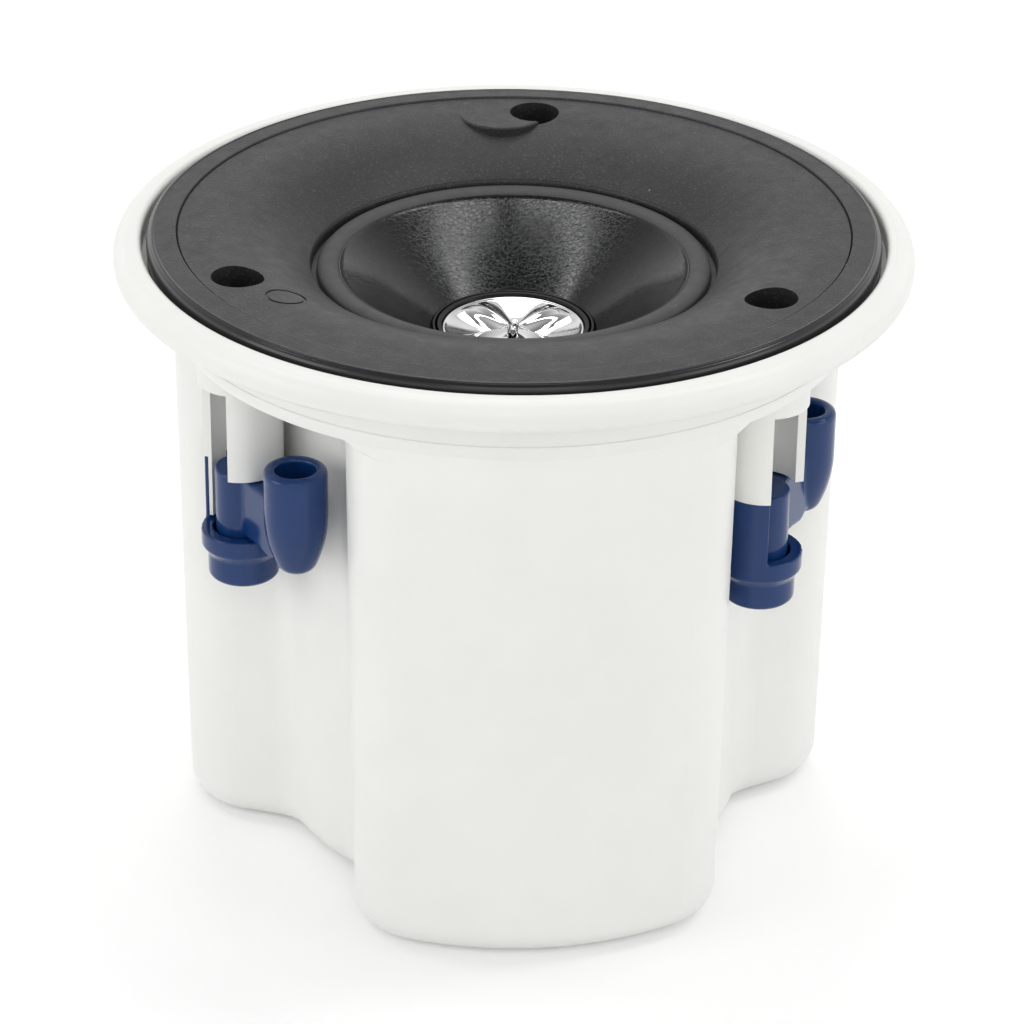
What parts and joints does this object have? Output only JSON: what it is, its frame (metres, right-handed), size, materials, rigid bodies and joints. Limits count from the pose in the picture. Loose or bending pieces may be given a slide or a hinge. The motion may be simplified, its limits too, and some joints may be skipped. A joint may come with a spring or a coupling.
{
  "type": "in-ceiling speaker",
  "caption": "Round in-ceiling coaxial speaker: fluted white back can, rolled bezel, black baffle, bright phase plug and blue swing-out ceiling clamps.",
  "frame": {"origin": "on the speaker's axis, at the flat base of the back can", "axes": "+Z along the speaker's axis out of its front; +Y towards the first clamp tower"},
  "size_m": [0.23, 0.23, 0.1884],
  "materials": {
    "white_plastic": "satin moulded plastic",
    "baffle_plastic": "fine-textured moulded plastic",
    "blue_plastic": "glossy moulded plastic",
    "black_plastic": "moulded plastic",
    "surround_rubber": "smooth matte rubber",
    "cone_paper": "coated fibre cone",
    "chrome_plug": "bright plated",
    "black_steel": "black painted pressing",
    "zinc_steel": "zinc plated",
    "ferrite": "sintered ferrite",
    "foam": "closed-cell foam",
    "spider_cloth": "resin-treated cloth",
    "dome_cloth": "coated cloth dome",
    "former_film": "dark heat-proof film",
    "copper_coil": "enamelled copper wire",
    "connector_plastic": "moulded plastic",
    "circuit_board": "lacquered board",
    "film_capacitor": "film wrap",
    "ceramic_resistor": "ceramic body"
  },
  "bodies": {
    "speaker_body": {"bezel_ring": "white_plastic", "back_can": "white_plastic", "can_gasket": "foam", "front_baffle": "baffle_plastic", "screw_way_seals": "foam", "driver_gasket": "foam", "driver_basket": "black_steel", "surround": "surround_rubber", "spider": "spider_cloth", "top_plate": "zinc_steel", "ferrite_magnet": "ferrite", "pole_yoke": "zinc_steel", "tweeter_body": "black_steel", "tweeter_dome": "dome_cloth", "tweeter_collar": "black_plastic", "phase_plug": "chrome_plug", "terminal_cup": "black_plastic", "input_connector": "connector_plastic", "crossover_board": "circuit_board", "board_screws": "zinc_steel", "crossover_inductor": "copper_coil", "crossover_capacitors": "film_capacitor", "crossover_resistor": "ceramic_resistor", "can_screws": "zinc_steel", "baffle_screws": "zinc_steel", "driver_screws": "zinc_steel", "clamp_end_cap_1": "blue_plastic", "clamp_end_cap_2": "blue_plastic", "clamp_end_cap_3": "blue_plastic"},
    "cone_assembly": {"cone": "cone_paper", "voice_coil_former": "former_film", "voice_coil": "copper_coil"},
    "dog_1": {"clamp_dog_1": "blue_plastic", "clamp_nut_1": "zinc_steel"},
    "screw_1": {"clamp_screw_1": "zinc_steel"},
    "dog_2": {"clamp_dog_2": "blue_plastic", "clamp_nut_2": "zinc_steel"},
    "screw_2": {"clamp_screw_2": "zinc_steel"},
    "dog_3": {"clamp_dog_3": "blue_plastic", "clamp_nut_3": "zinc_steel"},
    "screw_3": {"clamp_screw_3": "zinc_steel"}
  },
  "joints": [
    {"name": "cone_travel", "type": "slide", "parent": "speaker_body", "child": "cone_assembly", "axis": [0, 0, 1], "range_m": [-0.003, 0.003], "stiffness_N_per_m": 1500, "deforming": ["surround", "spider"]},
    {"name": "clamp_swing_1", "type": "hinge", "parent": "speaker_body", "child": "dog_1", "pos_m": [0, 0.0858, 0.11], "axis": [0, 0, 1], "range_deg": [-116, 0]},
    {"name": "clamp_screw_turn_1", "type": "hinge", "parent": "speaker_body", "child": "screw_1", "pos_m": [0, 0.0858, 0.11], "axis": [0, 0, 1], "continuous": true},
    {"name": "clamp_swing_2", "type": "hinge", "parent": "speaker_body", "child": "dog_2", "pos_m": [-0.0743, -0.0429, 0.11], "axis": [0, 0, 1], "range_deg": [-116, 0]},
    {"name": "clamp_screw_turn_2", "type": "hinge", "parent": "speaker_body", "child": "screw_2", "pos_m": [-0.0743, -0.0429, 0.11], "axis": [0, 0, 1], "continuous": true},
    {"name": "clamp_swing_3", "type": "hinge", "parent": "speaker_body", "child": "dog_3", "pos_m": [0.0743, -0.0429, 0.11], "axis": [0, 0, 1], "range_deg": [-116, 0]},
    {"name": "clamp_screw_turn_3", "type": "hinge", "parent": "speaker_body", "child": "screw_3", "pos_m": [0.0743, -0.0429, 0.11], "axis": [0, 0, 1], "continuous": true}
  ]
}
